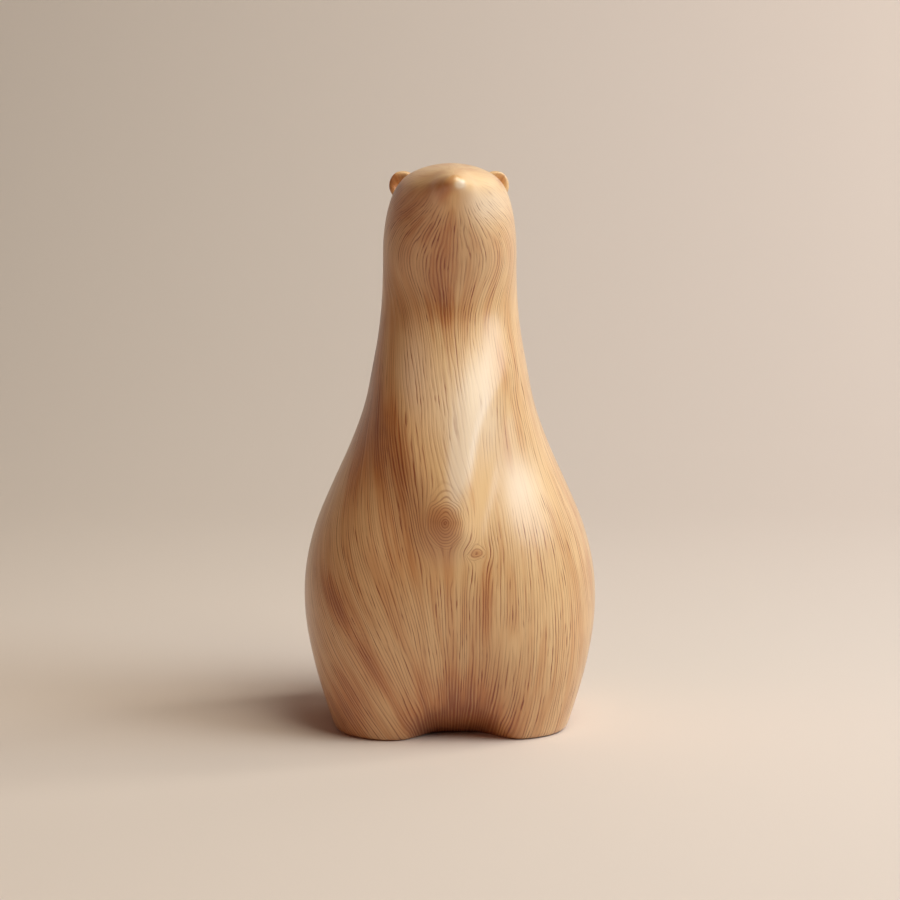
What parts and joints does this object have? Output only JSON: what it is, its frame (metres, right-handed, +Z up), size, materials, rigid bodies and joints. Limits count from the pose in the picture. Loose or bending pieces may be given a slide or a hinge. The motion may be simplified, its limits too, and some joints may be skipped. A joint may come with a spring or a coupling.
{
  "type": "wooden animal carving",
  "caption": "Smooth, stylised seated bear carved in honey-coloured wood, with a raised muzzle, small cupped ears and a flat underside.",
  "frame": {"origin": "middle of the flat underside, below the middle of the body", "axes": "+Z up through the crown, -Y forwards to where the bear looks, +X to the bear's left"},
  "size_m": [0.1312, 0.1234, 0.2491],
  "materials": {
    "carved_wood": "oiled satin, open grain"
  },
  "bodies": {
    "root": {"bear_carving": "carved_wood"}
  },
  "joints": []
}
